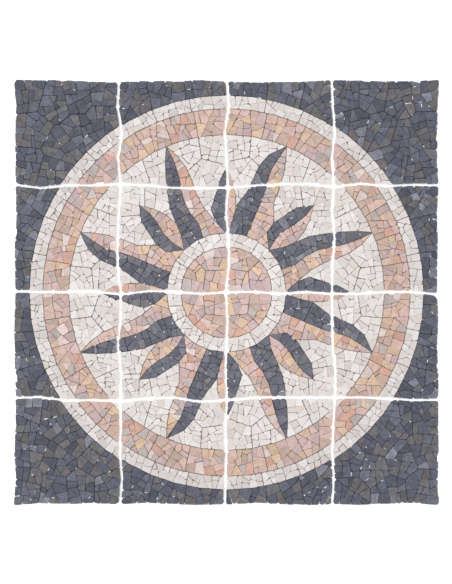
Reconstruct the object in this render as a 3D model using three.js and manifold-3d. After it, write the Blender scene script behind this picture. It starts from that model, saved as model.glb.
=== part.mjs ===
// A sun rosette for a floor: sixteen net-backed mats of broken marble and slate, laid out four by four.
// Millimetres, +Z up. The origin is under the centre of the rosette, on the surface the mats lie on.
// Rows are A to D from the far side (+Y) to the near side, columns 1 to 4 from left to right.
// In each mat, neighbouring stones of one colour are fused into patches. Every joint between two patches,
// and every border between two colours, is cut down to a thin web, which is the foot of the stones.
import * as THREE from "three";
import { mergeVertices } from "three/addons/utils/BufferGeometryUtils.js";
import Module from "manifold-3d";

const wasm = await Module();
wasm.setup();

// Mats
const MAT_SIDE = 304;
const MATS_ACROSS = 4;
const QUARTERS = 4;
const MAT_GAP = 6;
const CUT_WAVE = 7.5;
const RIM_WAVE = 7.5;
const CUT_KNOTS = 4;

// Layers, from the surface up
const NET_THICKNESS = 0.8;
const NET_INSET = 8;
const GLUE_FILM = 0.3;
const STONE_THICKNESS = 8;
const WEB_THICKNESS = 1.4;
const JOINT_WIDTH = 1.6;

// Rosette, as radii and widths about its centre
const DISC_RADIUS = 129;
const INNER_RING_WIDTH = 41;
const RAY_LENGTH = 279;
const ROSE_RING_WIDTH = 75;
const OUTER_RING_WIDTH = 39;
const SHORT_RAYS = 8;

// Mean side of one patch of fused stones
const GROUND_PATCH = 86;
const OUTER_RING_PATCH = 64;
const ROSE_RING_PATCH = 84;
const FIELD_PATCH = 74;
const RAY_PATCH = 62;
const INNER_RING_PATCH = 56;
const DISC_PATCH = 64;

// How finely curves are followed and patches are spread
const CIRCLE_SAG = 1.6;
const STATION_STEP = 42;
const LEAST_OPENING = 1;
const HALVINGS = 20;
const END_SPARE = 1.03;
const SAMPLE_STEP = 5;
const PLACING_TRIES = 12;
const SETTLING_ROUNDS = 12;
const CROSSING_ROUNDS = 12;
const LEAST_PATCH_AREA = 60;
const SEED = 71;

const INNER_RING_RADIUS = DISC_RADIUS + INNER_RING_WIDTH;
const FIELD_RADIUS = INNER_RING_RADIUS + RAY_LENGTH;
const ROSE_RING_RADIUS = FIELD_RADIUS + ROSE_RING_WIDTH;
const OUTER_RING_RADIUS = ROSE_RING_RADIUS + OUTER_RING_WIDTH;
const SECTOR = (2 * Math.PI) / SHORT_RAYS;
const END_REACH = END_SPARE / Math.cos(SECTOR / 2);
const STONE_FOOT = NET_THICKNESS + GLUE_FILM;
const STONE_TOP = STONE_FOOT + STONE_THICKNESS;
const WEB_TOP = STONE_FOOT + WEB_THICKNESS;

// Each edge of a ray is a curve through a few stations: the share of RAY_LENGTH out from the inner ring,
// and the offset from the ray's axis as a share of RAY_LENGTH, counter-clockwise positive.
// A ray is rose on its clockwise side and dark on the other, with a divider between them.
const LONG_SHAPES = [
  {
    rose: [[0, -0.26], [0.14, -0.18], [0.27, -0.13], [0.42, -0.11], [0.67, -0.11], [0.82, -0.085], [1, 0]],
    divider: [[0, 0], [0.12, -0.015], [0.31, 0.033], [0.45, 0.036], [0.65, 0], [0.82, -0.015], [1, 0]],
    dark: [[0, 0.26], [0.09, 0.205], [0.4, 0.205], [0.53, 0.175], [0.67, 0.14], [0.85, 0.073], [1, 0]],
  },
  {
    rose: [[0, -0.26], [0.25, -0.172], [0.35, -0.124], [0.43, -0.091], [0.67, -0.088], [0.85, -0.05], [1, 0]],
    divider: [[0, 0.04], [0.49, 0.036], [0.69, 0.058], [0.85, 0.033], [1, 0]],
    dark: [[0, 0.26], [0.12, 0.234], [0.27, 0.263], [0.49, 0.197], [0.73, 0.186], [0.86, 0.135], [1, 0]],
  },
];
const SHORT_SHAPES = [
  {
    tip: 0.64,
    rose: [[0, 0], [0.12, -0.051], [0.25, -0.084], [0.36, -0.088], [0.56, -0.047], [0.64, 0]],
    divider: [[0, 0], [0.64, 0]],
    dark: [[0, 0], [0.09, 0.077], [0.22, 0.15], [0.35, 0.124], [0.45, 0.073], [0.56, 0.051], [0.64, 0]],
  },
  {
    tip: 0.655,
    rose: [[0, 0], [0.09, -0.069], [0.32, -0.15], [0.42, -0.113], [0.58, -0.058], [0.655, 0]],
    divider: [[0, 0], [0.2, 0.04], [0.35, 0.007], [0.49, -0.018], [0.655, 0]],
    dark: [[0, 0], [0.045, 0.088], [0.14, 0.15], [0.25, 0.164], [0.35, 0.135], [0.49, 0.124], [0.655, 0]],
  },
];

const STONE = new THREE.MeshStandardMaterial({ color: 0xb9aca4, roughness: 0.6, metalness: 0 });
const NET = new THREE.MeshStandardMaterial({ color: 0xe4e2dc, roughness: 0.8, metalness: 0 });

// A seeded random number from 0 to 1.
function makeRandom(seed) {
  let state = seed;
  return () => {
    state = (state + 0x6d2b79f5) | 0;
    let t = Math.imul(state ^ (state >>> 15), 1 | state);
    t = (t + Math.imul(t ^ (t >>> 7), 61 | t)) ^ t;
    return ((t ^ (t >>> 14)) >>> 0) / 4294967296;
  };
}

// The offset of a ray's edge at a share of its length: straight in time, eased between stations.
function edgeOffset(stations, share) {
  const last = stations.length - 1;
  if (share <= stations[0][0]) return stations[0][1];
  if (share >= stations[last][0]) return stations[last][1];
  const next = stations.findIndex(([at]) => at > share);
  const slope = (i) => {
    const [a, b] = [stations[Math.max(i - 1, 0)], stations[Math.min(i + 1, last)]];
    return (b[1] - a[1]) / (b[0] - a[0]);
  };
  const [x0, y0] = stations[next - 1];
  const [x1, y1] = stations[next];
  const span = x1 - x0;
  const t = (share - x0) / span;
  const h = t * t * (3 - 2 * t);
  const leaving = t * (1 - t) * (1 - t) * span * slope(next - 1);
  const arriving = t * t * (1 - t) * span * slope(next);
  return y0 + (y1 - y0) * h + leaving - arriving;
}

const [UPRIGHT, LEVEL] = [0, 1];
const random = makeRandom(SEED);
const CUT_OFFSETS = listCutOffsets(random);

const radiusOf = ([x, y]) => Math.hypot(x, y);
const polar = (radius, angle) => [radius * Math.cos(angle), radius * Math.sin(angle)];

// How far, along the circle, a point lies counter-clockwise of an axis through the centre.
function arcFrom(point, axis) {
  const turn = Math.atan2(point[1], point[0]) - axis;
  return radiusOf(point) * Math.atan2(Math.sin(turn), Math.cos(turn));
}

// The edge of a ray as an arc from the ray's axis, at a radius.
const rayEdge = (stations) => (radius) =>
  RAY_LENGTH * edgeOffset(stations, (radius - INNER_RING_RADIUS) / RAY_LENGTH);

// A colour area lies between two radii and, if it has an axis, between a low and a high edge, which are
// arcs from that axis. The areas that it is cut by come first.
const ringArea = (patch, from, to) => ({ patch, from, to, cutBy: [] });
const bandArea = (patch, axis, from, to, low, high, cutBy) => ({ patch, axis, from, to, low, high, cutBy });

// A short ray that lies along a gap between mats has the gap as its divider.
const liesAlongGap = (index) => MATS_ACROSS % 2 === 0 && (index * QUARTERS) % SHORT_RAYS === 0;

function listAreas() {
  const cornerRadius = Math.hypot(1, 1) * (MAT_SIDE * MATS_ACROSS);
  const areas = [
    ringArea(GROUND_PATCH, OUTER_RING_RADIUS, cornerRadius),
    ringArea(OUTER_RING_PATCH, ROSE_RING_RADIUS, OUTER_RING_RADIUS),
    ringArea(ROSE_RING_PATCH, FIELD_RADIUS, ROSE_RING_RADIUS),
    ringArea(INNER_RING_PATCH, DISC_RADIUS, INNER_RING_RADIUS),
    ringArea(DISC_PATCH, 0, DISC_RADIUS),
  ];
  const halfSector = (radius) => (SECTOR / 2) * radius;
  const around = (index) => (index + SHORT_RAYS) % SHORT_RAYS;
  const shortRays = [];
  for (let i = 0; i < SHORT_RAYS; i += 1) {
    const shape = SHORT_SHAPES[i % SHORT_SHAPES.length];
    const [rose, divider, dark] = [shape.rose, shape.divider, shape.dark].map(rayEdge);
    const half = (low, high) => {
      const tip = INNER_RING_RADIUS + shape.tip * RAY_LENGTH;
      return bandArea(RAY_PATCH, i * SECTOR, INNER_RING_RADIUS, tip, low, high, []);
    };
    shortRays.push(liesAlongGap(i) ? [half(rose, dark)] : [half(rose, divider), half(divider, dark)]);
  }
  const longEdges = (index) => {
    const shape = LONG_SHAPES[around(index) % LONG_SHAPES.length];
    const [rose, divider, dark] = [shape.rose, shape.divider, shape.dark].map(rayEdge);
    return {
      rose: (radius) => Math.max(rose(radius), -halfSector(radius)),
      divider,
      dark: (radius) => Math.min(dark(radius), halfSector(radius)),
    };
  };
  for (let i = 0; i < SHORT_RAYS; i += 1) {
    const { rose, divider, dark } = longEdges(i);
    const axis = (i + 0.5) * SECTOR;
    const star = [INNER_RING_RADIUS, FIELD_RADIUS];
    areas.push(...shortRays[i]);
    areas.push(bandArea(RAY_PATCH, axis, ...star, rose, divider, shortRays[i]));
    areas.push(bandArea(RAY_PATCH, axis, ...star, divider, dark, shortRays[around(i + 1)]));
    const before = (radius) => longEdges(i - 1).dark(radius) - halfSector(radius);
    const after = (radius) => rose(radius) + halfSector(radius);
    areas.push(bandArea(FIELD_PATCH, i * SECTOR, ...star, before, after, shortRays[i]));
  }
  return areas;
}

function isInside(area, point) {
  const radius = radiusOf(point);
  if (radius < area.from || radius > area.to) return false;
  if (area.low) {
    const arc = arcFrom(point, area.axis);
    if (arc < area.low(radius) || arc > area.high(radius)) return false;
  }
  return !area.cutBy.some((other) => isInside(other, point));
}

// A circle as a polygon that stays within CIRCLE_SAG of it. Both sides of a joint take the same corners.
function circlePoints(nominal, radius) {
  const sides = SHORT_RAYS * Math.ceil(Math.PI / (SHORT_RAYS * Math.acos(1 - CIRCLE_SAG / nominal)));
  return Array.from({ length: sides }, (_, i) => polar(radius, (i * 2 * Math.PI) / sides));
}

// A ring as an outline and a hole, grown by a margin on both sides, or shrunk by a negative one.
function ringOutline(area, margin) {
  const hole = area.from > 0 ? circlePoints(area.from, area.from - margin) : null;
  return [circlePoints(area.to, area.to + margin), hole];
}

// The outline between the two edges of a band, where it is open, grown by a margin. An open end runs on
// past its radius, for a ring to cut it off.
function bandOutline(area, margin) {
  const opening = (radius) => area.high(radius) - area.low(radius) + 2 * margin - LEAST_OPENING;
  const steps = Math.ceil((area.to - area.from) / STATION_STEP);
  const radii = Array.from({ length: steps + 1 }, (_, i) => area.from + ((area.to - area.from) * i) / steps);
  const stations = [];
  radii.forEach((radius, i) => {
    if (i > 0 && opening(radius) > 0 !== opening(radii[i - 1]) > 0) {
      stations.push({ radius: turningRadius(opening, radii[i - 1], radius), reach: 1 });
    }
    if (opening(radius) <= 0) return;
    if (i === 0) stations.push({ radius, reach: 1 / END_REACH });
    stations.push({ radius, reach: 1 });
    if (i === steps) stations.push({ radius, reach: END_REACH });
  });
  const along = (edge, growth) =>
    stations.map(({ radius, reach }) => polar(radius * reach, area.axis + (edge(radius) + growth) / radius));
  return [...along(area.low, -margin), ...along(area.high, margin).reverse()];
}

// The radius between two others at which a value changes its sign.
function turningRadius(value, from, to) {
  let [low, high] = [from, to];
  const start = value(from) > 0;
  for (let i = 0; i < HALVINGS; i += 1) {
    const middle = (low + high) / 2;
    if (value(middle) > 0 === start) low = middle;
    else high = middle;
  }
  return start ? low : high;
}

// A closed solid from a geometry whose faces share their vertices.
function toSolid(geometry) {
  geometry.deleteAttribute("normal");
  geometry.deleteAttribute("uv");
  const merged = mergeVertices(geometry);
  const vertProperties = new Float32Array(merged.attributes.position.array);
  const triVerts = new Uint32Array(merged.index.array);
  return new wasm.Manifold(new wasm.Mesh({ numProp: 3, vertProperties, triVerts }));
}

function prism(points, low, high, hole) {
  const asVectors = (outline) => outline.map(([x, y]) => new THREE.Vector2(x, y));
  const shape = new THREE.Shape(asVectors(points));
  if (hole) shape.holes.push(new THREE.Path(asVectors(hole)));
  const geometry = new THREE.ExtrudeGeometry(shape, { depth: high - low, bevelEnabled: false });
  geometry.translate(0, 0, low);
  return toSolid(geometry);
}

const overWeb = (points, hole) => prism(points, WEB_TOP, STONE_TOP, hole);

// One area as a solid of the closed-up rosette, grown by a margin on every side.
function areaPrism(area, margin) {
  const ring = overWeb(...ringOutline(area, margin));
  return area.low ? ring.intersect(overWeb(bandOutline(area, margin))) : ring;
}

// The stone of one area, less half a joint all round.
function areaSolid(area) {
  const cuts = area.cutBy.map((other) => areaPrism(other, JOINT_WIDTH / 2));
  return cuts.reduce((solid, cut) => solid.subtract(cut), areaPrism(area, -JOINT_WIDTH / 2));
}

// The cut lines between mats waver as the stones along them do, and so does the rim of the panel, inwards
// only, from corners that stand at the full size. A line is straight between its knots.
function listCutOffsets(random) {
  const lines = Array.from({ length: MATS_ACROSS + 1 }, (_, line) => line);
  const knots = Array.from({ length: MATS_ACROSS * CUT_KNOTS + 1 }, (_, knot) => knot);
  const offsetAt = (line, knot) => {
    if (line > 0 && line < MATS_ACROSS) return CUT_WAVE * (2 * random() - 1);
    const inwards = line === 0 ? 1 : -1;
    const isCorner = knot === 0 || knot === knots.length - 1;
    return isCorner ? 0 : inwards * RIM_WAVE * random();
  };
  return [UPRIGHT, LEVEL].map(() => lines.map((line) => knots.map((knot) => offsetAt(line, knot))));
}

function cutLine(line, direction, along) {
  const place = (along / MAT_SIDE + MATS_ACROSS / 2) * CUT_KNOTS;
  const knot = Math.min(Math.max(Math.floor(place), 0), MATS_ACROSS * CUT_KNOTS - 1);
  const [from, to] = CUT_OFFSETS[direction][line].slice(knot, knot + 2);
  return (line - MATS_ACROSS / 2) * MAT_SIDE + from + (to - from) * (place - knot);
}

const onUpright = (line, y) => [cutLine(line, UPRIGHT, y), y];
const onLevel = (line, x) => [x, cutLine(line, LEVEL, x)];

// Where an upright cut line crosses a level one, by stepping from one to the other.
function crossing(upright, level) {
  let point = [(upright - MATS_ACROSS / 2) * MAT_SIDE, (level - MATS_ACROSS / 2) * MAT_SIDE];
  for (let i = 0; i < CROSSING_ROUNDS; i += 1) {
    point = onLevel(level, onUpright(upright, point[1])[0]);
  }
  return point;
}

// The outline of one mat in the closed-up rosette, counter-clockwise from its lower left corner.
function matOutline(column, row) {
  const knotSpacing = MAT_SIDE / CUT_KNOTS;
  const knotsFrom = (index) => {
    const start = (index - MATS_ACROSS / 2) * MAT_SIDE;
    return Array.from({ length: CUT_KNOTS - 1 }, (_, i) => start + (i + 1) * knotSpacing);
  };
  return [
    crossing(column, row),
    ...knotsFrom(column).map((x) => onLevel(row, x)),
    crossing(column + 1, row),
    ...knotsFrom(row).map((y) => onUpright(column + 1, y)),
    crossing(column + 1, row + 1),
    ...knotsFrom(column).reverse().map((x) => onLevel(row + 1, x)),
    crossing(column, row + 1),
    ...knotsFrom(row).reverse().map((y) => onUpright(column, y)),
  ];
}

function isInMat(column, row, [x, y]) {
  const beside = x >= cutLine(column, UPRIGHT, y) && x <= cutLine(column + 1, UPRIGHT, y);
  return beside && y >= cutLine(row, LEVEL, x) && y <= cutLine(row + 1, LEVEL, x);
}

// Keeps the part of a convex polygon where normal . point is at least distance.
function clipToSide(polygon, normal, distance) {
  const kept = [];
  const depth = (p) => p[0] * normal[0] + p[1] * normal[1] - distance;
  polygon.forEach((from, i) => {
    const to = polygon[(i + 1) % polygon.length];
    const [a, b] = [depth(from), depth(to)];
    if (a >= 0) kept.push(from);
    if (a >= 0 !== b >= 0) {
      const t = a / (a - b);
      kept.push([from[0] + (to[0] - from[0]) * t, from[1] + (to[1] - from[1]) * t]);
    }
  });
  return kept;
}

const squareDistance = (a, b) => (a[0] - b[0]) ** 2 + (a[1] - b[1]) ** 2;

function nearestIndex(points, to) {
  const distances = points.map((point) => squareDistance(point, to));
  return distances.indexOf(Math.min(...distances));
}

// Spreads the middles of the patches evenly over the sample points of one area in one mat.
function placeMiddles(samples, count) {
  let middles = [];
  for (let i = 0; i < count; i += 1) {
    const tries = Array.from({ length: PLACING_TRIES }, () => samples[Math.floor(random() * samples.length)]);
    const room = (p) => Math.min(Infinity, ...middles.map((middle) => squareDistance(middle, p)));
    middles.push(tries.reduce((best, p) => (room(p) > room(best) ? p : best)));
  }
  for (let round = 0; round < SETTLING_ROUNDS; round += 1) {
    const sums = middles.map(() => ({ x: 0, y: 0, count: 0 }));
    samples.forEach((point) => {
      const sum = sums[nearestIndex(middles, point)];
      sum.x += point[0];
      sum.y += point[1];
      sum.count += 1;
    });
    middles = middles.map((middle, i) =>
      sums[i].count ? [sums[i].x / sums[i].count, sums[i].y / sums[i].count] : middle,
    );
  }
  return middles;
}

// The convex cell of points that are nearest to one middle, less half a joint on each side.
function cellAround(own, middles) {
  const corners = [[-1, -1], [1, -1], [1, 1], [-1, 1]];
  let cell = corners.map(([x, y]) => [own[0] + x * MAT_SIDE, own[1] + y * MAT_SIDE]);
  middles.forEach((other) => {
    if (other === own) return;
    const length = Math.sqrt(squareDistance(own, other));
    const normal = [(own[0] - other[0]) / length, (own[1] - other[1]) / length];
    const halfway = [(own[0] + other[0]) / 2, (own[1] + other[1]) / 2];
    const distance = halfway[0] * normal[0] + halfway[1] * normal[1] + JOINT_WIDTH / 2;
    cell = clipToSide(cell, normal, distance);
  });
  return cell;
}

// The solid patches of one mat, standing on the net, in the closed-up rosette.
function layPatches(column, row, matSolid, areas) {
  const middle = [column, row].map((i) => (i + 0.5 - MATS_ACROSS / 2) * MAT_SIDE);
  const reach = MAT_SIDE / 2 + CUT_WAVE;
  const samplesOf = areas.map(() => []);
  for (let x = -reach; x <= reach; x += SAMPLE_STEP) {
    for (let y = -reach; y <= reach; y += SAMPLE_STEP) {
      const point = [middle[0] + x, middle[1] + y];
      if (!isInMat(column, row, point)) continue;
      const found = areas.findIndex((area) => isInside(area, point));
      if (found >= 0) samplesOf[found].push(point);
    }
  }
  const leastVolume = LEAST_PATCH_AREA * (STONE_TOP - WEB_TOP);
  return areas.flatMap((area, index) => {
    const samples = samplesOf[index];
    if (!samples.length) return [];
    const covered = samples.length * SAMPLE_STEP ** 2;
    const count = Math.max(1, Math.round(covered / area.patch ** 2));
    const middles = placeMiddles(samples, count);
    const cells = middles.map((own) => overWeb(cellAround(own, middles)));
    const inMat = area.solid.intersect(matSolid);
    const patches = cells.flatMap((cell) => inMat.intersect(cell).decompose());
    return patches.filter((patch) => patch.volume() > leastVolume);
  });
}

function addMat(panel, column, row, areas) {
  const letter = String.fromCharCode("A".charCodeAt(0) + MATS_ACROSS - 1 - row);
  const name = `mat_${letter}${column + 1}`;
  const middle = [column, row].map((i) => (i + 0.5 - MATS_ACROSS / 2) * MAT_SIDE);
  const mat = new THREE.Group();
  mat.position.set(...middle.map((v) => (v / MAT_SIDE) * (MAT_SIDE + MAT_GAP)), 0);
  panel.add(mat);

  const outline = matOutline(column, row);
  const patches = layPatches(column, row, overWeb(outline), areas);
  const web = prism(outline, STONE_FOOT, WEB_TOP);
  const { vertProperties, triVerts } = wasm.Manifold.union([web, ...patches]).getMesh();
  const geometry = new THREE.BufferGeometry();
  geometry.setAttribute("position", new THREE.BufferAttribute(vertProperties, 3));
  geometry.setIndex(new THREE.BufferAttribute(triVerts, 1));
  geometry.translate(-middle[0], -middle[1], 0);
  const stones = new THREE.Mesh(geometry, STONE);
  stones.name = `${name}_stones`;

  const netSide = MAT_SIDE - 2 * NET_INSET;
  const net = new THREE.Mesh(new THREE.BoxGeometry(netSide, netSide, NET_THICKNESS), NET);
  net.position.z = NET_THICKNESS / 2;
  net.name = `${name}_net`;
  mat.add(stones, net);
}

const panel = new THREE.Group();
const areas = listAreas();
areas.forEach((area) => {
  area.solid = areaSolid(area);
});
for (let row = 0; row < MATS_ACROSS; row += 1) {
  for (let column = 0; column < MATS_ACROSS; column += 1) {
    addMat(panel, column, row, areas);
  }
}

export default panel;
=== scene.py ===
# A sun rosette of net-backed stone mats, dressed stone by stone over the solid model.
# Metres, in the frame of the model: +Z up, the origin under the centre of the rosette.
import math
import random

import bpy
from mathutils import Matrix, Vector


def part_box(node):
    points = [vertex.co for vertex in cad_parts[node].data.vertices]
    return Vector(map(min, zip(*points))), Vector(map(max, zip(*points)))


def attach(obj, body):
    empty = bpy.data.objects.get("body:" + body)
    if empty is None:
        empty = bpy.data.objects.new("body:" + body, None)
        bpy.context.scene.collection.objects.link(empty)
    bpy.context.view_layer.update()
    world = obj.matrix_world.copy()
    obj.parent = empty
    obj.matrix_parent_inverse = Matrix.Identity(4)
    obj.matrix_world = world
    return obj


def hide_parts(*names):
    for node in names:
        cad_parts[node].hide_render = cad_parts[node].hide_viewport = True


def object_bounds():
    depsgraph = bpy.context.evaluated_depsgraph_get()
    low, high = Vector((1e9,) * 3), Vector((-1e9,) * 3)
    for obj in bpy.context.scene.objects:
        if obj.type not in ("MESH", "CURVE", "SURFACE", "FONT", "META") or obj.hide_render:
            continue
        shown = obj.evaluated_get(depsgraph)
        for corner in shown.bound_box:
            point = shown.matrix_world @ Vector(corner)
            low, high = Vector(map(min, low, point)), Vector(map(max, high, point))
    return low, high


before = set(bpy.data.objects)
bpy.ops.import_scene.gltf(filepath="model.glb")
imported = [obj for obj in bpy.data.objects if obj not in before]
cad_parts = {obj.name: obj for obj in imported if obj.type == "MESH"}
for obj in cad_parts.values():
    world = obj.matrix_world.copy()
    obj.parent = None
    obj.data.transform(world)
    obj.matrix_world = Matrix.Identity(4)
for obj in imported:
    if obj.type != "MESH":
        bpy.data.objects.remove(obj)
cad_low, cad_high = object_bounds()

MM = 0.001

# The design, in the closed-up rosette: the mats pushed together without their gaps.
MAT_SIDE = 304 * MM
ROWS = "ABCD"
COLUMNS = "1234"
DISC_RADIUS = 129 * MM
INNER_RING_RADIUS = 170 * MM
FIELD_RADIUS = 449 * MM
ROSE_RING_RADIUS = 524 * MM
OUTER_RING_RADIUS = 563 * MM
RAY_LENGTH = FIELD_RADIUS - INNER_RING_RADIUS
SHORT_RAYS = 8
SECTOR = 2 * math.pi / SHORT_RAYS

# Each edge of a ray, as stations: the share of RAY_LENGTH out from the inner ring, and the offset from the
# ray's axis as a share of RAY_LENGTH, counter-clockwise positive.
LONG_SHAPES = (
    {
        "rose": (
            (0, -0.26), (0.14, -0.18), (0.27, -0.13), (0.42, -0.11), (0.67, -0.11), (0.82, -0.085), (1, 0)),
        "divider": ((0, 0), (0.12, -0.015), (0.31, 0.033), (0.45, 0.036), (0.65, 0), (0.82, -0.015), (1, 0)),
        "dark": ((0, 0.26), (0.09, 0.205), (0.4, 0.205), (0.53, 0.175), (0.67, 0.14), (0.85, 0.073), (1, 0)),
    },
    {
        "rose": (
            (0, -0.26), (0.25, -0.172), (0.35, -0.124), (0.43, -0.091),
            (0.67, -0.088), (0.85, -0.05), (1, 0)),
        "divider": ((0, 0.04), (0.49, 0.036), (0.69, 0.058), (0.85, 0.033), (1, 0)),
        "dark": (
            (0, 0.26), (0.12, 0.234), (0.27, 0.263), (0.49, 0.197), (0.73, 0.186), (0.86, 0.135), (1, 0)),
    },
)
SHORT_SHAPES = (
    {
        "rose": ((0, 0), (0.12, -0.051), (0.25, -0.084), (0.36, -0.088), (0.56, -0.047), (0.64, 0)),
        "divider": ((0, 0), (0.64, 0)),
        "dark": ((0, 0), (0.09, 0.077), (0.22, 0.15), (0.35, 0.124), (0.45, 0.073), (0.56, 0.051), (0.64, 0)),
    },
    {
        "rose": ((0, 0), (0.09, -0.069), (0.32, -0.15), (0.42, -0.113), (0.58, -0.058), (0.655, 0)),
        "divider": ((0, 0), (0.2, 0.04), (0.35, 0.007), (0.49, -0.018), (0.655, 0)),
        "dark": (
            (0, 0), (0.045, 0.088), (0.14, 0.15), (0.25, 0.164), (0.35, 0.135), (0.49, 0.124), (0.655, 0)),
    },
)

# Mean side of one stone in each area
STONE_SIDES = {
    "ground": 27 * MM,
    "outer_ring": 21 * MM,
    "rose_ring": 25 * MM,
    "field": 22.5 * MM,
    "rose_ray": 22 * MM,
    "dark_ray": 23 * MM,
    "inner_ring": 21 * MM,
    "disc": 25 * MM,
}
COLOUR_OF_AREA = {
    "ground": "slate",
    "outer_ring": "cream",
    "rose_ring": "rose",
    "field": "cream",
    "rose_ray": "rose",
    "dark_ray": "slate",
    "inner_ring": "cream",
    "disc": "rose",
}
# How light the stones of an area are beside their palette
AREA_TONES = {
    "ground": 1.0,
    "outer_ring": 0.9,
    "rose_ring": 0.95,
    "field": 0.97,
    "rose_ray": 0.99,
    "dark_ray": 1.0,
    "inner_ring": 1.0,
    "disc": 1.02,
}
# How much paler than its face the worn arris of a stone is
EDGE_SHADES = {"slate": 1.45, "cream": 1.04, "rose": 1.1}
SLOTS = {"slate": "slate", "cream": "cream_marble", "rose": "rose_marble"}

# Tolerances for reading the solids and cutting outlines
GRID = 0.01 * MM
LEVEL_NORMAL = 0.9
LEVEL_TOLERANCE = 0.05 * MM
RIM_TOLERANCE = 0.1 * MM
SNAP = 0.002 * MM
LEAST_EDGE = 0.1 * MM
LEAST_SIDE = 0.25 * MM
LEAST_REACH = 0.001 * MM
FARTHEST_DRAW = 0.5

# How a patch breaks into stones. Shares are of a stone's area or side, and chances go from 0 to 1.
REFLEX_TURN = math.radians(3)
LARGEST_SHARE = 1.5
LONGEST_SHARE = 1.9
SIZE_SPREAD = 0.45
CUT_TRIES = 9
CUT_TILT = math.radians(38)
CUT_DRIFT = 0.16
LENGTH_DIRECTIONS = 12
THREE_WAY_SHARE = 2.4
THREE_WAY_CHANCE = 0.3
THREE_WAY_SLIP = 0.14
FAIR_ANGLE = math.radians(62)
LUCK = 0.16
LEAST_STONE_AREA = 12 * MM * MM

# A stone's share of its joints, as (least, most, how strongly it leans to the least)
CUT_JOINTS = {
    "slate": (0.1 * MM, 1.4 * MM, 2.8),
    "cream": (0.0, 1.6 * MM, 5.0),
    "rose": (0.0, 1.5 * MM, 3.2),
}
PATCH_JOINT = (-0.8 * MM, 1.0 * MM, 4.5)
RIM_JOINT = (-0.8 * MM, 1.9 * MM, 1.3)
LEAST_TILTED_SIDE = 6 * MM

# Chips and broken sides. A chip is (least, most).
CHIP_CHANCE = 0.6
CHIP = (0.6 * MM, 3.9 * MM)
CHIP_LEAN = 2.2
CHIP_TILT = 0.35
LARGEST_CHIP = 0.3
RIM_CHIP = (0.5 * MM, 4.5 * MM)
MAT_CORNER_CHIP = (3 * MM, 7 * MM)
MAT_CORNER_TURN = math.pi / 4
EDGE_STEP = 5 * MM
EDGE_ROUGHNESS = 0.6 * MM
EDGE_BREAK = (-0.4, 0.6)
EDGE_SLIP = 0.25

# The body of a stone: its rings from the foot to the middle of the face, and their shades. The foot and waist
# shades are painted shade that darkens the sides towards the foot, down in the joints.
ARRIS = 0.55 * MM
ARRIS_SPREAD = (0.7, 1.4)
WAIST = (0.35, 0.6)
FACE_RING_SHARES = (0.72, 0.36)
# Painted shade on the side of a stone: its foot and waist are coloured darker, as the shade in a joint would
# make them
FOOT_PAINTED_SHADE = 0.85
WAIST_PAINTED_SHADE = 0.9
FACE_EDGE_SHADE = 1.02
FACE_UNEVENNESS = 0.04
UNDERCUT = 0.5 * MM
HEIGHT_SPREAD = 0.3 * MM
TOP_TILT = 0.01
TOP_RELIEFS = {"slate": 0.16 * MM, "cream": 0.06 * MM, "rose": 0.06 * MM}
SIDE_BULGE = 0.45 * MM

# Beads of dried glue. Shares are of the side of the stone that a bead lies along.
BEAD_CHANCES = {"slate": 0.032, "cream": 0.0, "rose": 0.005}
BEAD_HALF_LENGTH = (2.5 * MM, 8 * MM)
BEAD_HALF_WIDTH = (0.9 * MM, 2.0 * MM)
BEAD_RISE = 0.3 * MM
BEAD_DEPTH = 0.5 * MM
BEAD_SIDES = 10
BEAD_PLACE = (0.3, 0.7)
BEAD_LONGEST_SHARE = 0.45
BEAD_LENGTH_WOBBLE = (0.6, 1.1)
BEAD_WIDTH_WOBBLE = (0.4, 1.2)
BEAD_CROWN_SIZE = 0.7

# The bed of glue and dust between the feet of the stones
BED_LIFT = 0.25 * MM
BED_INSET = 5 * MM
BED_REACH = 197 * MM
BED_FILL = 2.5 * MM
SLATE_BED_RISE = 0.2 * MM
SLATE_BED_SPREAD = 0.8 * MM

# The threads of the net
THREAD_PITCH = 5 * MM
THREAD_WIDTH = 1.0 * MM

# Noise in the stones, as (detail, distortion), and the levels between which each one works
NOISES = {
    "cloud": (5, 0.8),
    "grain": (3, 0.0),
    "vein": (4, 1.5),
    "pits": (2, 0.0),
    "stain": (4, 1.0),
    "gloss": (2, 0.0),
    "relief": (6, 0.0),
}
NOISE_SPAN = (0.3, 0.7)
NOISE_MIDDLE = 0.5
VEIN_SPAN = (0.0, 0.02)
PIT_SPAN = (0.26, 0.36)
STAIN_SPAN = (0.45, 0.7)
GLOSS_SCALE = 0.4
RELIEF_SCALE = 1.8
HOLLOW_RELIEF = 0.3
GRAIN_RELIEF = 0.3

# Spots in the dust, the glue and the threads
SPOT_DETAIL = 3
SPOT_BLEND = 0.04
SPOT_BUMP = 0.3 * MM
SPOT_BUMP_STRENGTH = 0.6

# Floor, light and camera
WHITE = (1, 1, 1, 1)
FLOOR_SIDE = 60.0
FLOOR_DROP = 0.2 * MM
FLOOR_GREY = 250
FLOOR_ROUGHNESS = 0.9
FLOOR_GLOW = 0.4
ROOM_LIGHT = 0.62
SUN_STRENGTH = 1.45
SUN_SPREAD = math.radians(30)
SUN_TILT = (math.radians(-14), math.radians(-20), 0)
PHOTO_WIDTH_PX = 452
PHOTO_HEIGHT_PX = 584
PANEL_WIDTH_PX = 425.6
PANEL_CENTRE_PX = (226.5, 292.5)
LENS_MM = 100
FARTHEST_SEEN = 100


def from_srgb(*levels):
    """A linear colour from levels of 0 to 255."""
    shares = [level / 255 for level in levels]
    return tuple(s / 12.92 if s <= 0.04045 else ((s + 0.055) / 1.055) ** 2.4 for s in shares)


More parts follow.
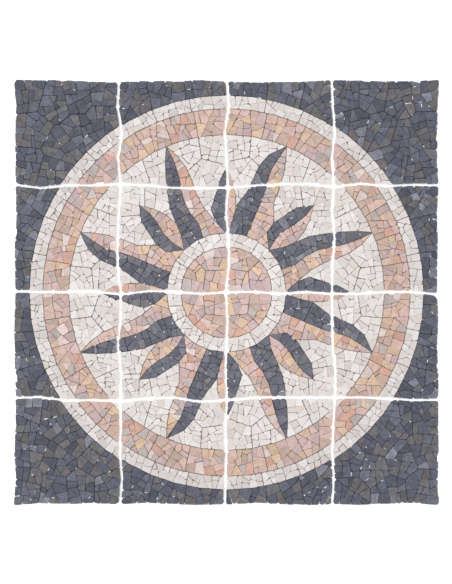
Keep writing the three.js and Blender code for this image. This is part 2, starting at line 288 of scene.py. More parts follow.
# Stone colours and how often each occurs
PALETTES = {
    "slate": (
        (from_srgb(83, 86, 102), 25),
        (from_srgb(94, 97, 112), 23),
        (from_srgb(76, 79, 94), 16),
        (from_srgb(98, 97, 103), 15),
        (from_srgb(104, 101, 103), 10),
        (from_srgb(99, 95, 100), 6),
        (from_srgb(121, 122, 136), 5),
    ),
    "ray_slate": (
        (from_srgb(100, 101, 115), 36),
        (from_srgb(110, 111, 124), 28),
        (from_srgb(93, 94, 108), 22),
        (from_srgb(115, 113, 118), 10),
        (from_srgb(129, 130, 142), 4),
    ),
    "cream": (
        (from_srgb(230, 225, 223), 32),
        (from_srgb(225, 219, 216), 28),
        (from_srgb(235, 231, 230), 22),
        (from_srgb(224, 214, 208), 12),
        (from_srgb(218, 212, 211), 6),
    ),
    "rose": (
        (from_srgb(213, 184, 171), 21),
        (from_srgb(213, 184, 180), 20),
        (from_srgb(218, 189, 163), 13),
        (from_srgb(198, 173, 161), 13),
        (from_srgb(201, 178, 179), 12),
        (from_srgb(210, 168, 152), 8),
        (from_srgb(190, 179, 176), 6),
        (from_srgb(225, 209, 204), 7),
    ),
}
TONE_SPREADS = {"slate": 0.18, "cream": 0.05, "rose": 0.1}


def pairs_round(items):
    """Each item with the next one, and the last with the first."""
    return zip(items, items[1:] + items[:1])


def edge_offset(stations, share):
    """The offset of a ray's edge at a share of its length, eased between stations."""
    if share <= stations[0][0]:
        return stations[0][1]
    if share >= stations[-1][0]:
        return stations[-1][1]
    after = next(i for i, (at, _) in enumerate(stations) if at > share)
    last = len(stations) - 1

    def slope(i):
        low, high = stations[max(i - 1, 0)], stations[min(i + 1, last)]
        return (high[1] - low[1]) / (high[0] - low[0])

    (x0, y0), (x1, y1) = stations[after - 1], stations[after]
    span = x1 - x0
    t = (share - x0) / span
    eased = y0 + (y1 - y0) * t * t * (3 - 2 * t)
    leaving = t * (1 - t) ** 2 * span * slope(after - 1)
    arriving = t * t * (1 - t) * span * slope(after)
    return eased + leaving - arriving


def half_of_ray(point, shapes, index, axis):
    """The half of a ray that a point lies in: rose_ray, dark_ray or None."""
    shape = shapes[index % len(shapes)]
    radius = math.hypot(*point)
    share = (radius - INNER_RING_RADIUS) / RAY_LENGTH
    if share > shape["rose"][-1][0]:
        return None
    turn = math.atan2(point[1], point[0]) - axis
    offset = radius * math.atan2(math.sin(turn), math.cos(turn)) / RAY_LENGTH
    rose, divider, dark = (edge_offset(shape[edge], share) for edge in ("rose", "divider", "dark"))
    if offset < rose or offset > dark:
        return None
    return "rose_ray" if offset < divider else "dark_ray"


def area_at(point):
    """The name of the colour area at a point of the closed-up rosette."""
    radius = math.hypot(*point)
    rings = (
        (DISC_RADIUS, "disc"),
        (INNER_RING_RADIUS, "inner_ring"),
        (FIELD_RADIUS, "star"),
        (ROSE_RING_RADIUS, "rose_ring"),
        (OUTER_RING_RADIUS, "outer_ring"),
    )
    name = next((name for reach, name in rings if radius < reach), "ground")
    if name != "star":
        return name
    turn = math.atan2(point[1], point[0])
    short = round(turn / SECTOR) % SHORT_RAYS
    found = half_of_ray(point, SHORT_SHAPES, short, short * SECTOR)
    if found:
        return found
    long = math.floor(turn / SECTOR) % SHORT_RAYS
    nearby = (long, (long + 1) % SHORT_RAYS, (long - 1) % SHORT_RAYS)
    halves = (half_of_ray(point, LONG_SHAPES, i, (i + 0.5) * SECTOR) for i in nearby)
    return next((half for half in halves if half), "field")


def area_of(polygon):
    """The area of a polygon whose corners go counter-clockwise."""
    return sum(a[0] * b[1] - b[0] * a[1] for a, b in pairs_round(polygon)) / 2


def centroid_of(polygon):
    """The centre of a polygon's area."""
    x0, y0 = polygon[0][:2]
    total = x = y = 0.0
    for a, b in pairs_round(polygon):
        ax, ay, bx, by = a[0] - x0, a[1] - y0, b[0] - x0, b[1] - y0
        cross = ax * by - bx * ay
        total += cross
        x += (ax + bx) * cross
        y += (ay + by) * cross
    return (x0 + x / (3 * total), y0 + y / (3 * total))


def drop_short_edges(polygon):
    """A polygon without the corners that lie on the next one."""
    return [a for a, b in pairs_round(polygon) if math.dist(a[:2], b[:2]) > LEAST_EDGE]


def clip(polygon, normal, distance, tag):
    """The part of a polygon where normal . point is at least distance. Each corner is (x, y, kind of the
    edge that starts there), and the new edge gets the tag."""
    kept = []
    depths = [p[0] * normal[0] + p[1] * normal[1] - distance for p in polygon]
    depths = [0.0 if abs(depth) < SNAP else depth for depth in depths]
    for i, start in enumerate(polygon):
        j = (i + 1) % len(polygon)
        end = polygon[j]
        if depths[i] >= 0:
            leaves = depths[i] == 0 and depths[j] < 0
            kept.append((start[0], start[1], tag) if leaves else start)
        if depths[i] * depths[j] < 0:
            t = depths[i] / (depths[i] - depths[j])
            x, y = (start[k] + (end[k] - start[k]) * t for k in (0, 1))
            kept.append((x, y, tag if depths[i] > 0 else start[2]))
    return drop_short_edges(kept)


def cut_in_two(polygon, point, angle):
    """The parts of a polygon on both sides of the line through a point at an angle."""
    normal = (-math.sin(angle), math.cos(angle))
    distance = point[0] * normal[0] + point[1] * normal[1]
    other = (-normal[0], -normal[1])
    parts = (clip(polygon, normal, distance, "cut"), clip(polygon, other, -distance, "cut"))
    return [part for part in parts if len(part) > 2]


def cut_in_three(polygon, point, rng):
    """Three parts of a convex polygon round a point."""
    start = rng.uniform(0, 2 * math.pi)
    slips = [rng.uniform(-THREE_WAY_SLIP, THREE_WAY_SLIP) for _ in range(3)]
    angles = [start + (k + slip) * 2 * math.pi / 3 for k, slip in enumerate(slips)]
    parts = []
    for first, second in pairs_round(angles):
        after = (-math.sin(first), math.cos(first))
        before = (math.sin(second), -math.cos(second))
        part = clip(polygon, after, point[0] * after[0] + point[1] * after[1], "cut")
        if len(part) > 2:
            part = clip(part, before, point[0] * before[0] + point[1] * before[1], "cut")
        if len(part) > 2:
            parts.append(part)
    return parts


def turn_at(polygon, i):
    """How far an outline turns to the left at a corner."""
    a, b, c = polygon[i - 1], polygon[i], polygon[(i + 1) % len(polygon)]
    arriving = math.atan2(b[1] - a[1], b[0] - a[0])
    leaving = math.atan2(c[1] - b[1], c[0] - b[0])
    return math.remainder(leaving - arriving, 2 * math.pi)


def fairness(polygon):
    """How much a polygon is like a good stone, from 0 for a sliver to about 0.8 for a square one."""
    perimeter = sum(math.dist(a[:2], b[:2]) for a, b in pairs_round(polygon))
    sharpest = min(math.pi - turn_at(polygon, i) for i in range(len(polygon)))
    return 4 * math.pi * area_of(polygon) / perimeter**2 * min(1, sharpest / FAIR_ANGLE)


def best_cut(cuts, rng):
    """The cut whose worst part is fairest, give or take some luck."""
    scored = []
    for parts in cuts:
        if len(parts) > 1 and min(map(len, parts)) > 2 and min(map(area_of, parts)) > LEAST_STONE_AREA:
            scored.append((min(map(fairness, parts)) + rng.uniform(0, LUCK), parts))
    return max(scored, key=lambda entry: entry[0])[1] if scored else []


def split_from(polygon, i, angle):
    """Two parts of an outline, cut from a corner to the first side that the cut meets."""
    corner = polygon[i]
    ahead = (math.cos(angle), math.sin(angle))
    rest = polygon[i + 1:] + polygon[:i]
    nearest = None
    for j, (a, b) in enumerate(zip(rest, rest[1:])):
        edge = (b[0] - a[0], b[1] - a[1])
        away = (a[0] - corner[0], a[1] - corner[1])
        slant = ahead[0] * edge[1] - ahead[1] * edge[0]
        if slant == 0:
            continue
        distance = (away[0] * edge[1] - away[1] * edge[0]) / slant
        share = (away[0] * ahead[1] - away[1] * ahead[0]) / slant
        if distance > LEAST_EDGE and 0 <= share <= 1 and (nearest is None or distance < nearest[0]):
            nearest = (distance, j)
    if nearest is None:
        return []
    distance, j = nearest
    x, y = corner[0] + ahead[0] * distance, corner[1] + ahead[1] * distance
    first = [corner, *rest[:j + 1], (x, y, "cut")]
    second = [(x, y, rest[j][2]), *rest[j + 1:], (corner[0], corner[1], "cut")]
    return [drop_short_edges(first), drop_short_edges(second)]


def cut_at_reflex(polygon, rng):
    """Convex parts of a polygon, cut from each corner that points inwards."""
    for i, corner in enumerate(polygon):
        turn = turn_at(polygon, i)
        if turn > -REFLEX_TURN:
            continue
        before = polygon[i - 1]
        inwards = math.atan2(corner[1] - before[1], corner[0] - before[0]) + turn / 2 + math.pi / 2
        shares = [k / CUT_TRIES for k in range(1 - CUT_TRIES, CUT_TRIES)]
        splits = [split_from(polygon, i, inwards + share * CUT_TILT) for share in shares]
        whole = [split for split in splits if split and min(map(len, split)) > 2]
        parts = best_cut(splits, rng) or max(whole, key=lambda split: min(map(area_of, split)), default=[])
        if parts:
            return [piece for part in parts for piece in cut_at_reflex(part, rng)]
    return [polygon]


def length_along(polygon, angle):
    """How long a polygon is in the direction of an angle."""
    along = [p[0] * math.cos(angle) + p[1] * math.sin(angle) for p in polygon]
    return max(along) - min(along)


def break_up(polygon, side, rng):
    """Irregular stones of about one size from a convex polygon."""
    stone = side * side * rng.uniform(1 - SIZE_SPREAD, 1 + SIZE_SPREAD)
    area = area_of(polygon)
    turns = [k * math.pi / LENGTH_DIRECTIONS for k in range(LENGTH_DIRECTIONS)]
    angle = max(turns, key=lambda turn: length_along(polygon, turn))
    length = length_along(polygon, angle)
    if area < LARGEST_SHARE * stone and length < LONGEST_SHARE * side:
        return [polygon]
    x, y = centroid_of(polygon)
    drift = CUT_DRIFT * length
    cuts = []
    for _ in range(CUT_TRIES):
        place = (x + rng.uniform(-drift, drift), y + rng.uniform(-drift, drift))
        across = angle + math.pi / 2 + rng.uniform(-CUT_TILT, CUT_TILT)
        cuts.append(cut_in_two(polygon, place, across))
        if area > THREE_WAY_SHARE * stone and rng.random() < THREE_WAY_CHANCE:
            cuts.append(cut_in_three(polygon, place, rng))
    parts = best_cut(cuts, rng)
    return [stone for part in parts for stone in break_up(part, side, rng)] if parts else [polygon]


def joint_share(joint, rng):
    """How far a side moves in at one end, picked from a joint range."""
    least, most, lean = joint
    return least + (most - least) * rng.random() ** lean


def shrink_edges(polygon, cut_joint, rng):
    """A stone's own outline: each side moves in by its share of the joint, one end more than the other."""
    joints = {"cut": cut_joint, "patch": PATCH_JOINT, "rim": RIM_JOINT}
    outline = polygon
    for a, b in pairs_round(polygon):
        length = math.hypot(b[0] - a[0], b[1] - a[1])
        inwards = (-(b[1] - a[1]) / length, (b[0] - a[0]) / length)
        first, second = joint_share(joints[a[2]], rng), joint_share(joints[a[2]], rng)
        tilt = (second - first) / max(length, LEAST_TILTED_SIDE)
        normal = (inwards[0] - tilt * (b[0] - a[0]) / length, inwards[1] - tilt * (b[1] - a[1]) / length)
        distance = (a[0] + inwards[0] * first) * normal[0] + (a[1] + inwards[1] * first) * normal[1]
        outline = clip(outline, normal, distance, a[2])
        if len(outline) < 3:
            return []
    return outline


def chip_corners(polygon, rng):
    """Corners broken off: a little inside the mat, more along its rim and most at its corners."""
    outline = polygon
    centre = centroid_of(polygon)
    for i, corner in enumerate(polygon):
        before = polygon[i - 1]
        turn = turn_at(polygon, i)
        on_rim = (before[2] == "rim") + (corner[2] == "rim")
        low, high = RIM_CHIP if on_rim else CHIP
        if on_rim == 2 and turn > MAT_CORNER_TURN:
            low, high = MAT_CORNER_CHIP
        elif rng.random() > CHIP_CHANCE:
            continue
        sharpness = min(turn / (math.pi / 2), 1)
        largest = LARGEST_CHIP * math.dist(corner[:2], centre)
        chip = sharpness * min(low + (high - low) * rng.random() ** CHIP_LEAN, largest)
        inwards = math.atan2(corner[1] - before[1], corner[0] - before[0]) + (turn + math.pi) / 2
        angle = inwards + sharpness * rng.uniform(-CHIP_TILT, CHIP_TILT)
        if turn > REFLEX_TURN:
            normal = (math.cos(angle), math.sin(angle))
            outline = clip(outline, normal, corner[0] * normal[0] + corner[1] * normal[1] + chip, "chip")
    return outline


def roughen(polygon, rng):
    """Points along the outline, with the sides broken a little unevenly."""
    points = []
    for a, b in pairs_round(polygon):
        dx, dy = b[0] - a[0], b[1] - a[1]
        length = math.hypot(dx, dy)
        if length < LEAST_SIDE:
            continue
        points.append((a[0], a[1]))
        pieces = max(1, round(length / EDGE_STEP))
        for k in range(1, pieces):
            t = (k + rng.uniform(-EDGE_SLIP, EDGE_SLIP)) / pieces
            inwards = rng.uniform(*EDGE_BREAK) * EDGE_ROUGHNESS
            points.append((a[0] + dx * t - dy / length * inwards, a[1] + dy * t + dx / length * inwards))
    return points


class Build:
    """The mesh of one piece as it grows: corners, faces, and a colour and a texture shift per corner."""

    def __init__(self):
        self.corners = []
        self.faces = []
        self.colours = []
        self.shifts = []

    def add_ring(self, points):
        first = len(self.corners)
        self.corners.extend(points)
        return list(range(first, len(self.corners)))

    def join_rings(self, lower, upper):
        for (a, b), (c, d) in zip(pairs_round(lower), pairs_round(upper)):
            self.faces.append((a, b, d, c))

    def close(self, rings):
        """Makes one closed body of rings of corners, from its foot to its top."""
        self.faces.append(tuple(reversed(rings[0])))
        for lower, upper in zip(rings, rings[1:]):
            self.join_rings(lower, upper)
        self.faces.append(tuple(rings[-1]))

    def paint(self, colour, shift):
        """Gives the next corner without a colour its colour and texture shift."""
        self.colours.append((*colour, 1.0))
        self.shifts.append(shift)

    def make(self, name, materials):
        """The piece as an object that rides on the body of the panel."""
        mesh = bpy.data.meshes.new(name)
        mesh.from_pydata(self.corners, [], self.faces)
        for material in materials:
            mesh.materials.append(material)
        if self.colours:
            # The corner colours hold painted shade on the sides of the stones as well as their own colour
            colour = mesh.color_attributes.new("stone_colour_and_painted_shade", "FLOAT_COLOR", "POINT")
            colour.data.foreach_set("color", [level for entry in self.colours for level in entry])
            shift = mesh.attributes.new("stone_shift", "FLOAT_VECTOR", "POINT")
            shift.data.foreach_set("vector", [part for entry in self.shifts for part in entry])
        piece = bpy.data.objects.new(name, mesh)
        bpy.context.scene.collection.objects.link(piece)
        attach(piece, "root")
        return piece


def draw_in(points, centre, distance):
    """Points moved towards a centre by a distance, but never past it, or away from it by one below 0."""
    moved = []
    for x, y in points:
        reach = max(math.hypot(x - centre[0], y - centre[1]), LEAST_REACH)
        share = min(distance / reach, FARTHEST_DRAW)
        moved.append((x + (centre[0] - x) * share, y + (centre[1] - y) * share))
    return moved


def scatter_in(points, centre, distance, rng):
    """Points moved towards a centre, each by its own share of a distance."""
    return [draw_in([point], centre, distance * rng.random())[0] for point in points]


def add_stone(build, polygon, area, foot, top, rng):
    """One stone as a closed body: a snapped side, a worn arris and a nearly flat face."""
    kind = COLOUR_OF_AREA[area]
    outline = shrink_edges(polygon, CUT_JOINTS[kind], rng)
    if len(outline) < 3 or area_of(outline) < LEAST_STONE_AREA:
        return
    points = roughen(chip_corners(outline, rng), rng)
    if len(points) < 3:
        return
    centre = centroid_of(points)
    colour = pick(PALETTES["ray_slate" if area == "dark_ray" else kind], rng)
    tone = AREA_TONES[area] * (1 + rng.uniform(-1, 1) * TONE_SPREADS[kind])
    shift = tuple(rng.uniform(-1, 1) for _ in range(3))
    level = top + rng.uniform(-HEIGHT_SPREAD, HEIGHT_SPREAD)
    tilt = [rng.uniform(-TOP_TILT, TOP_TILT) for _ in (0, 1)]
    relief = TOP_RELIEFS[kind]

    def raised(places, arris=0.0):
        """Places at the height of the face, and below it by an uneven arris where there is one."""
        corners = []
        for x, y in places:
            z = level + tilt[0] * (x - centre[0]) + tilt[1] * (y - centre[1]) + rng.uniform(-relief, relief)
            corners.append((x, y, z - arris * rng.uniform(*ARRIS_SPREAD) if arris else z))
        return corners

    def add_ring(places, shade, unevenness=0.0):
        ring = build.add_ring(places)
        for _ in places:
            # A shade below 1, at the foot and waist, is painted shade in the joint; above 1, at the arris, it
            # is the paler worn edge
            own = tone * shade * (1 + rng.uniform(-unevenness, unevenness))
            build.paint(tuple(min(part * own, 1.0) for part in colour), shift)
        return ring

    def shrunk(share):
        cx, cy = centre
        return [(cx + (x - cx) * share, cy + (y - cy) * share) for x, y in points]

    waist = foot + (top - foot) * rng.uniform(*WAIST)
    rings = [
        # The foot and waist rings carry painted shade: the side is darker towards the foot, down in the joint
        add_ring([(x, y, foot) for x, y in draw_in(points, centre, UNDERCUT)], FOOT_PAINTED_SHADE),
        add_ring([(x, y, waist) for x, y in scatter_in(points, centre, SIDE_BULGE, rng)], WAIST_PAINTED_SHADE),
        add_ring(raised(points, ARRIS), EDGE_SHADES[kind]),
        add_ring(raised(draw_in(points, centre, ARRIS)), FACE_EDGE_SHADE),
    ]
    rings.extend(add_ring(raised(shrunk(share)), 1.0, FACE_UNEVENNESS) for share in FACE_RING_SHARES)
    build.close(rings)


def add_bead(build, a, b, foot, top, rng):
    """A bead of dried glue that stands in the joint along one side of a stone."""
    length = math.dist(a[:2], b[:2])
    along = ((b[0] - a[0]) / length, (b[1] - a[1]) / length)
    share = rng.uniform(*BEAD_PLACE)
    centre = (a[0] + (b[0] - a[0]) * share, a[1] + (b[1] - a[1]) * share)
    reach = min(rng.uniform(*BEAD_HALF_LENGTH), BEAD_LONGEST_SHARE * length)
    half_width = rng.uniform(*BEAD_HALF_WIDTH)

    def ring_at(z, size):
        places = []
        for k in range(BEAD_SIDES):
            angle = 2 * math.pi * k / BEAD_SIDES
            u = reach * size * math.cos(angle) * rng.uniform(*BEAD_LENGTH_WOBBLE)
            v = half_width * size * math.sin(angle) * rng.uniform(*BEAD_WIDTH_WOBBLE)
            x = centre[0] + along[0] * u - along[1] * v
            y = centre[1] + along[1] * u + along[0] * v
            places.append((x, y, z))
        return build.add_ring(places)

    crown = top + BEAD_RISE
    rings = [ring_at(foot, 1.0), ring_at(crown - BEAD_DEPTH, 1.0), ring_at(crown, BEAD_CROWN_SIZE)]
    build.close(rings)


def level_loops(node, height, upwards):
    """The outlines of a node's level faces at a height, as loops of (x, y)."""
    mesh = node.data
    places = [tuple(round(part / GRID) for part in vertex.co) for vertex in mesh.vertices]
    sides = set()
    for face in mesh.polygons:
        if (face.normal.z > LEVEL_NORMAL) != upwards or abs(face.normal.z) < LEVEL_NORMAL:
            continue
        if any(abs(mesh.vertices[v].co.z - height) > LEVEL_TOLERANCE for v in face.vertices):
            continue
        ring = [places[v] for v in face.vertices]
        sides.update(pairs_round(ring))
    next_of = {a: b for a, b in sides if (b, a) not in sides}
    loops = []
    while next_of:
        start, place = next_of.popitem()
        loop = [start]
        while place != start:
            loop.append(place)
            place = next_of.pop(place)
        loops.append([(x * GRID, y * GRID) for x, y, _ in loop])
    return loops


def distance_to_outline(point, outline):
    """The distance from a point to the nearest side of an outline."""
    distances = []
    for a, b in pairs_round(outline):
        dx, dy = b[0] - a[0], b[1] - a[1]
        t = ((point[0] - a[0]) * dx + (point[1] - a[1]) * dy) / (dx * dx + dy * dy)
        t = min(max(t, 0), 1)
        distances.append(math.hypot(point[0] - a[0] - dx * t, point[1] - a[1] - dy * t))
    return min(distances)


def tag_edges(loop, outline):
    """Corners with the kind of the edge that starts there: on the rim of the mat, or on a patch's joint."""
    tagged = []
    for a, b in pairs_round(loop):
        middle = ((a[0] + b[0]) / 2, (a[1] + b[1]) / 2)
        on_rim = distance_to_outline(middle, outline) < RIM_TOLERANCE
        tagged.append((a[0], a[1], "rim" if on_rim else "patch"))
    return tagged


def pick(palette, rng):
    """A colour from a palette of (colour, weight)."""
    colours, weights = zip(*palette)
    return rng.choices(colours, weights)[0]


def make_material(name):
    """A new material with its nodes, its links and the shader that it shows."""
    material = bpy.data.materials.new(name)
    material.use_nodes = True
    nodes, links = material.node_tree.nodes, material.node_tree.links
    nodes.clear()
    out = nodes.new("ShaderNodeOutputMaterial")
    shader = nodes.new("ShaderNodeBsdfPrincipled")
    links.new(shader.outputs["BSDF"], out.inputs["Surface"])
    return material, nodes, links, shader


def add_bump(nodes, links, shader, height, strength, distance):
    """Lets a height socket raise and lower the surface of a shader."""
    lift = nodes.new("ShaderNodeBump")
    lift.inputs["Strength"].default_value = strength
    lift.inputs["Distance"].default_value = distance
    links.new(height, lift.inputs["Height"])
    links.new(lift.outputs["Normal"], shader.inputs["Normal"])


def stone_material(name, cloud, stain, stain_tint, vein, grain, pits, roughness, bump):
    """Honed stone: its own colour, with the painted shade on the sides of each stone, clouded, stained,
    veined and grained from place to place, with pits.
    cloud, stain, vein, grain and pits are (scale per metre, strength)."""
    material, nodes, links, shader = make_material(name)
    # The stone colour attribute carries painted shade on the lower sides of the stones
    own = nodes.new("ShaderNodeAttribute")
    own.attribute_name = "stone_colour_and_painted_shade"
    shift = nodes.new("ShaderNodeAttribute")
    shift.attribute_name = "stone_shift"
    place = nodes.new("ShaderNodeTexCoord")
    moved = nodes.new("ShaderNodeVectorMath")
    moved.operation = "ADD"
    links.new(place.outputs["Object"], moved.inputs[0])
    links.new(shift.outputs["Vector"], moved.inputs[1])

    def noise(kind, scale):
        detail, distortion = NOISES[kind]
        node = nodes.new("ShaderNodeTexNoise")
        node.inputs["Scale"].default_value = scale
        node.inputs["Detail"].default_value = detail
        node.inputs["Distortion"].default_value = distortion
        links.new(moved.outputs["Vector"], node.inputs["Vector"])
        return node.outputs["Fac"]

    def ramp(value, span, start, end):
        node = nodes.new("ShaderNodeMapRange")
        node.inputs["From Min"].default_value = span[0]
        node.inputs["From Max"].default_value = span[1]
        node.inputs["To Min"].default_value = start
        node.inputs["To Max"].default_value = end
        links.new(value, node.inputs["Value"])
        return node.outputs["Result"]

    def combine(operation, a, b):
        node = nodes.new("ShaderNodeMath")
        node.operation = operation
        for socket, value in zip(node.inputs, (a, b)):
            if isinstance(value, (int, float)):
                socket.default_value = value
            else:
                links.new(value, socket)
        return node.outputs["Value"]

    clouds = ramp(noise("cloud", cloud[0]), NOISE_SPAN, 1 - cloud[1], 1 + cloud[1])
    grains = ramp(noise("grain", grain[0]), NOISE_SPAN, 1 - grain[1], 1 + grain[1])
    near_line = combine("ABSOLUTE", combine("SUBTRACT", noise("vein", vein[0]), NOISE_MIDDLE), 0)
    veins = ramp(near_line, VEIN_SPAN, 1 - vein[1], 1.0)
    pitted = ramp(noise("pits", pits[0]), PIT_SPAN, 1 - pits[1], 1.0)
    shade = combine("MULTIPLY", combine("MULTIPLY", clouds, grains), combine("MULTIPLY", veins, pitted))
    shaded = nodes.new("ShaderNodeVectorMath")
    shaded.operation = "SCALE"
    links.new(own.outputs["Color"], shaded.inputs[0])
    links.new(shade, shaded.inputs["Scale"])
    tinted = nodes.new("ShaderNodeVectorMath")
    tinted.operation = "MULTIPLY"
    tinted.inputs[1].default_value = stain_tint
    links.new(shaded.outputs["Vector"], tinted.inputs[0])
    mixed = nodes.new("ShaderNodeMix")
    mixed.data_type = "RGBA"
    links.new(ramp(noise("stain", stain[0]), STAIN_SPAN, 0.0, stain[1]), mixed.inputs["Factor"])
    links.new(shaded.outputs["Vector"], mixed.inputs["A"])
    links.new(tinted.outputs["Vector"], mixed.inputs["B"])
    links.new(mixed.outputs["Result"], shader.inputs["Base Color"])
    gloss = ramp(noise("gloss", grain[0] * GLOSS_SCALE), NOISE_SPAN, *roughness)
    links.new(gloss, shader.inputs["Roughness"])
    hollows = combine("MULTIPLY", combine("ADD", veins, pitted), HOLLOW_RELIEF)
    waves = combine("ADD", noise("relief", cloud[0] * RELIEF_SCALE), hollows)
    relief = combine("ADD", waves, combine("MULTIPLY", grains, GRAIN_RELIEF))
    add_bump(nodes, links, shader, relief, 1.0, bump)
    return material


def spotted_material(name, colour, spot_colour, spot_scale, spot_from, roughness):
    """A plain body colour with spots of another, both from noise in place."""
    material, nodes, links, shader = make_material(name)
    place = nodes.new("ShaderNodeTexCoord")
    noise = nodes.new("ShaderNodeTexNoise")
    noise.inputs["Scale"].default_value = spot_scale
    noise.inputs["Detail"].default_value = SPOT_DETAIL
    links.new(place.outputs["Object"], noise.inputs["Vector"])
    ramp = nodes.new("ShaderNodeValToRGB")
    ramp.color_ramp.elements[0].position = spot_from
    ramp.color_ramp.elements[0].color = (*colour, 1)
    ramp.color_ramp.elements[1].position = min(spot_from + SPOT_BLEND, 1)
    ramp.color_ramp.elements[1].color = (*spot_colour, 1)
    links.new(noise.outputs["Fac"], ramp.inputs["Fac"])
    links.new(ramp.outputs["Color"], shader.inputs["Base Color"])
    shader.inputs["Roughness"].default_value = roughness
    add_bump(nodes, links, shader, noise.outputs["Fac"], SPOT_BUMP_STRENGTH, SPOT_BUMP)
    return material


STONE_MATERIALS = {
    "slate": stone_material(
        "slate", cloud=(85, 0.32), stain=(38, 0.45), stain_tint=(1.1, 1.02, 0.93), vein=(24, 0.16),
        grain=(1100, 0.14), pits=(420, 0.2), roughness=(0.5, 0.78), bump=0.7 * MM),
    "cream": stone_material(
        "cream_marble", cloud=(80, 0.05), stain=(45, 0.8), stain_tint=(0.99, 0.94, 0.9), vein=(30, 0.1),
        grain=(800, 0.03), pits=(330, 0.22), roughness=(0.38, 0.6), bump=0.22 * MM),
    "rose": stone_material(
        "rose_marble", cloud=(75, 0.13), stain=(42, 0.9), stain_tint=(0.98, 0.9, 0.83), vein=(30, 0.2),
        grain=(800, 0.06), pits=(330, 0.25), roughness=(0.38, 0.6), bump=0.22 * MM),
}
DUST = spotted_material("joint_dust", from_srgb(142, 133, 126), from_srgb(225, 222, 215), 45, 0.74, 0.9)
SLATE_DUST = spotted_material("slate_dust", from_srgb(68, 68, 74), from_srgb(205, 205, 203), 45, 0.72, 0.9)
GLUE = spotted_material("net_glue", from_srgb(238, 236, 230), from_srgb(205, 198, 186), 220, 0.6, 0.45)
NET = spotted_material("glass_fibre", from_srgb(232, 232, 226), from_srgb(214, 212, 204), 900, 0.5, 0.6)


def add_slab(build, places, foot, top):
    """A flat body with upright sides."""
    build.close([build.add_ring([(x, y, z) for x, y in places]) for z in (foot, top)])


def inside_bed(places, centre, near_rim):
    """Places near the rim of the mat, moved in to where the bed ends; near_rim tells which they are."""
    moved = []
    for place, is_near in zip(places, near_rim):
        past_reach = math.dist(place, centre) - BED_REACH
        moved.extend(draw_in([place], centre, max(BED_INSET, past_reach)) if is_near else [place])
    return moved


def make_bed(name, build, outline, slate_patches, foot, top):
    """The glue between the feet of the stones: the beads already in the build, one slab with dust on it, and
    slabs with darker dust between the slates. The beads and the underside of the first slab are bare glue."""
    centre = centroid_of(outline)
    glue_faces = len(build.faces) + 1
    add_slab(build, inside_bed(outline, centre, [True] * len(outline)), foot, top)
    slab_faces = len(build.faces)
    for patch in slate_patches:
        near_rim = ["rim" in (before[2], place[2]) for before, place in zip(patch[-1:] + patch[:-1], patch)]
        spread = draw_in([(x, y) for x, y, _ in patch], centroid_of(patch), -SLATE_BED_SPREAD)
        places = inside_bed(spread, centre, near_rim)
        add_slab(build, places, foot + SLATE_BED_RISE, top + SLATE_BED_RISE)
    piece = build.make(name, [DUST, GLUE, SLATE_DUST])
    dust, glue, slate_dust = range(3)
    for i, polygon in enumerate(piece.data.polygons):
        polygon.material_index = glue if i < glue_faces else dust if i < slab_faces else slate_dust
    return piece


def make_net(name, low, high):
    """A net of flat glass-fibre threads: one layer along X under one along Y."""
    build = Build()
    middle = (low.z + high.z) / 2

    def add_thread(x0, x1, y0, y1, z0, z1):
        add_slab(build, [(x0, y0), (x1, y0), (x1, y1), (x0, y1)], z0, z1)

    span = high.x - low.x - THREAD_WIDTH
    count = round(span / THREAD_PITCH)
    for k in range(count + 1):
        offset = span * k / count
        add_thread(low.x, high.x, low.y + offset, low.y + offset + THREAD_WIDTH, low.z, middle)
        add_thread(low.x + offset, low.x + offset + THREAD_WIDTH, low.y, high.y, middle, high.z)
    return build.make(name, [NET])


def dress_mat(name, column, row):
    """Lays the stones, the bed and the net of one mat over its solids."""
    rng = random.Random(name)
    stones_node, net_node = f"{name}_stones", f"{name}_net"
    low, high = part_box(stones_node)
    net_low, net_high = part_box(net_node)
    closed = ((column + 0.5 - len(COLUMNS) / 2) * MAT_SIDE, (len(ROWS) / 2 - row - 0.5) * MAT_SIDE)
    shift = ((net_low.x + net_high.x) / 2 - closed[0], (net_low.y + net_high.y) / 2 - closed[1])
    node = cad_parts[stones_node]
    outline = level_loops(node, low.z, False)[0][::-1]
    heights = sorted({round(vertex.co.z / GRID) for vertex in node.data.vertices})
    web_top = heights[1] * GRID
    builds = {kind: Build() for kind in SLOTS}
    beads = Build()
    slate_patches = []
    patches = sorted(level_loops(node, high.z, True), key=centroid_of)
    for loop in patches:
        tagged = tag_edges(loop, outline)
        patch = [(x - shift[0], y - shift[1], tag) for x, y, tag in tagged]
        area = area_at(centroid_of(patch))
        kind = COLOUR_OF_AREA[area]
        if kind == "slate":
            slate_patches.append(tagged)
        for convex in cut_at_reflex(patch, rng):
            for stone in break_up(convex, STONE_SIDES[area], rng):
                laid = [(x + shift[0], y + shift[1], tag) for x, y, tag in stone]
                add_stone(builds[kind], laid, area, low.z, high.z, rng)
                for a, b in pairs_round(laid):
                    if a[2] != "rim" and rng.random() < BEAD_CHANCES[kind]:
                        add_bead(beads, a, b, low.z + BED_LIFT, high.z, rng)
    for kind, build in builds.items():
        if not build.faces:
            continue
        piece = build.make(f"{name}_{kind}", [STONE_MATERIALS[kind]])
        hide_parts(stones_node)
    bed = make_bed(f"{name}_bed", beads, outline, slate_patches, low.z + BED_LIFT, web_top + BED_FILL)
    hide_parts(stones_node)
    net = make_net(f"{name}_threads", net_low, net_high)
    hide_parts(net_node)


for row, letter in enumerate(ROWS):
    for column, number in enumerate(COLUMNS):
        dress_mat(f"mat_{letter}{number}", column, row)


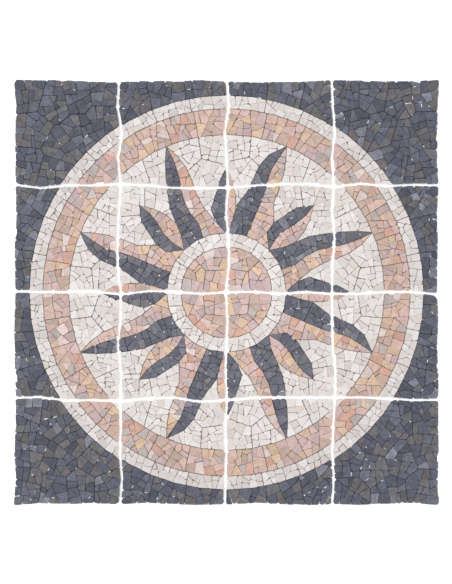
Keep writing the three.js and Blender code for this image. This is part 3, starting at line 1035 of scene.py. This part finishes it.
def make_floor():
    low, high = -FLOOR_SIDE / 2, FLOOR_SIDE / 2
    mesh = bpy.data.meshes.new("floor")
    places = ((low, low), (high, low), (high, high), (low, high))
    mesh.from_pydata([(x, y, -FLOOR_DROP) for x, y in places], [], [(0, 1, 2, 3)])
    material, _, _, shader = make_material("floor_white")
    shader.inputs["Base Color"].default_value = (*from_srgb(FLOOR_GREY, FLOOR_GREY, FLOOR_GREY), 1)
    shader.inputs["Roughness"].default_value = FLOOR_ROUGHNESS
    shader.inputs["Emission Color"].default_value = WHITE
    shader.inputs["Emission Strength"].default_value = FLOOR_GLOW
    mesh.materials.append(material)
    floor = bpy.data.objects.new("floor", mesh)
    bpy.context.scene.collection.objects.link(floor)


def make_light():
    bpy.context.scene.view_settings.view_transform = "Standard"
    world = bpy.data.worlds.new("studio")
    world.use_nodes = True
    backdrop = world.node_tree.nodes["Background"]
    backdrop.inputs["Color"].default_value = WHITE
    backdrop.inputs["Strength"].default_value = ROOM_LIGHT
    bpy.context.scene.world = world
    sun = bpy.data.lights.new("softbox", "SUN")
    sun.energy = SUN_STRENGTH
    sun.angle = SUN_SPREAD
    lamp = bpy.data.objects.new("softbox", sun)
    lamp.rotation_euler = SUN_TILT
    bpy.context.scene.collection.objects.link(lamp)


def make_camera():
    """Straight above, as far off as the lens needs for the panel to fill the photo's share of the frame."""
    data = bpy.data.cameras.new("camera")
    data.lens = LENS_MM
    camera = bpy.data.objects.new("camera", data)
    metres_per_px = (cad_high.x - cad_low.x) / PANEL_WIDTH_PX
    distance = PHOTO_HEIGHT_PX * metres_per_px * data.lens / data.sensor_width
    x = (PHOTO_WIDTH_PX / 2 - PANEL_CENTRE_PX[0]) * metres_per_px
    y = (PANEL_CENTRE_PX[1] - PHOTO_HEIGHT_PX / 2) * metres_per_px
    camera.location = (x, y, cad_high.z + distance)
    data.clip_end = FARTHEST_SEEN
    bpy.context.scene.collection.objects.link(camera)
    bpy.context.scene.camera = camera


make_floor()
make_light()
make_camera()
